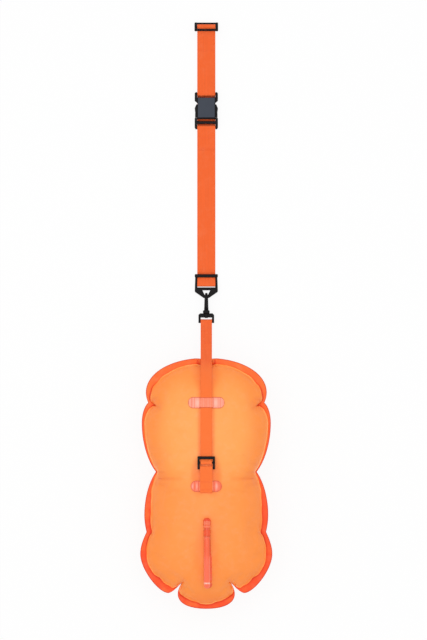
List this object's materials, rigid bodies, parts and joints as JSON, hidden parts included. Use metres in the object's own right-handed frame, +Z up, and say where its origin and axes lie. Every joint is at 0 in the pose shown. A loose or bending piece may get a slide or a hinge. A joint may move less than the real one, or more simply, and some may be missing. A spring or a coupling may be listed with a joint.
{
  "type": "open water swim buoy",
  "caption": "Inflatable two-panel tow buoy with webbing leash, swivel snap hook, triangle ring and a waist belt with side-release buckle.",
  "frame": {"origin": "centre of the flat patch under the back panel that the buoy rests on", "axes": "+X across the buoy, +Y from the bladder towards the belt, +Z up, out of the front panel"},
  "size_m": [0.2768, 1.2307, 0.1553],
  "materials": {
    "bladder_film": "semi-gloss coated film",
    "patch_film": "clear welded film",
    "webbing": "woven polyester webbing",
    "black_plastic": "satin acetal",
    "buckle_grey": "satin acetal",
    "tube_film": "glossy translucent tube",
    "valve_plastic": "glossy moulding",
    "pin_steel": "plain",
    "seal_rubber": "matt"
  },
  "bodies": {
    "buoy": {"bladder_front_panel": "bladder_film", "bladder_back_panel": "bladder_film", "keeper_patch": "patch_film", "anchor_patch": "patch_film", "anchor_strap": "webbing", "ladder_lock": "black_plastic", "leash_on_buoy": "webbing", "valve_base": "valve_plastic"},
    "leash_end": {"leash_free_end": "webbing"},
    "eye": {"swivel_eye": "black_plastic"},
    "hook": {"hook_body": "black_plastic", "swivel_stem": "black_plastic", "gate_pin": "pin_steel", "gate_spring": "pin_steel"},
    "gate": {"hook_gate": "black_plastic"},
    "ring": {"triangle_ring": "black_plastic"},
    "belt": {"belt_webbing": "webbing", "belt_front_strand": "webbing", "slider": "black_plastic", "buckle_female": "buckle_grey"},
    "male_half": {"buckle_male": "black_plastic", "buckle_end_loop": "webbing"},
    "left_prong": {"prong_left": "black_plastic"},
    "right_prong": {"prong_right": "black_plastic"},
    "tube": {"inflation_tube": "tube_film", "valve_body": "valve_plastic", "valve_spring": "pin_steel"},
    "collar": {"lock_collar": "valve_plastic"},
    "blow_valve": {"mouthpiece": "valve_plastic", "valve_stem": "valve_plastic", "valve_seal": "seal_rubber"}
  },
  "joints": [
    {"name": "leash_bend", "type": "hinge", "parent": "buoy", "child": "leash_end", "pos_m": [0, 0.26489, 0.06921], "axis": [1, 0, 0], "range_deg": [-25, 60]},
    {"name": "eye_pivot", "type": "hinge", "parent": "leash_end", "child": "eye", "pos_m": [0, 0.341, 0.0107], "axis": [1, 0, 0], "range_deg": [-45, 45]},
    {"name": "hook_swivel", "type": "hinge", "parent": "eye", "child": "hook", "pos_m": [0, 0.357, 0.0107], "axis": [0, 1, 0], "continuous": true},
    {"name": "gate_open", "type": "hinge", "parent": "hook", "child": "gate", "pos_m": [0, 0.367, 0.0162], "axis": [-1, 0, 0], "range_deg": [0, 25], "stiffness_Nm_per_rad": 0.004, "springref_deg": -20.05, "deforming": ["gate_spring"]},
    {"name": "ring_on_hook", "type": "hinge", "parent": "hook", "child": "ring", "pos_m": [0, 0.39165, 0.0107], "axis": [1, 0, 0], "range_deg": [-60, 60]},
    {"name": "belt_on_ring", "type": "hinge", "parent": "ring", "child": "belt", "pos_m": [0, 0.41656, 0.00684], "axis": [1, 0, 0], "range_deg": [-45, 0]},
    {"name": "buckle_release", "type": "slide", "parent": "belt", "child": "male_half", "axis": [0, -1, 0], "range_m": [0, 0.045], "deforming": ["belt_front_strand", "prong_left", "prong_right"]},
    {"name": "prong_left_press", "type": "hinge", "parent": "male_half", "child": "left_prong", "pos_m": [-0.0179, 0.7675, 0.0076], "axis": [0, 0, -1], "range_deg": [0, 9], "stiffness_Nm_per_rad": 0.02, "springref_deg": -2.86},
    {"name": "prong_right_press", "type": "hinge", "parent": "male_half", "child": "right_prong", "pos_m": [0.0179, 0.7675, 0.0076], "axis": [0, 0, 1], "range_deg": [0, 9], "stiffness_Nm_per_rad": 0.02, "springref_deg": -2.86},
    {"name": "tube_lift", "type": "hinge", "parent": "buoy", "child": "tube", "pos_m": [0.0015, -0.21208, 0.12972], "axis": [1, 0, 0], "range_deg": [0, 80]},
    {"name": "collar_turn", "type": "hinge", "parent": "tube", "child": "collar", "pos_m": [0.0015, -0.1, 0.1473], "axis": [0, 1, 0], "range_deg": [0, 90]},
    {"name": "mouthpiece_press", "type": "slide", "parent": "tube", "child": "blow_valve", "axis": [0, -1, 0], "range_m": [0, 0.0035], "stiffness_N_per_m": 200, "springref_m": -0.002, "deforming": ["valve_spring"]}
  ]
}
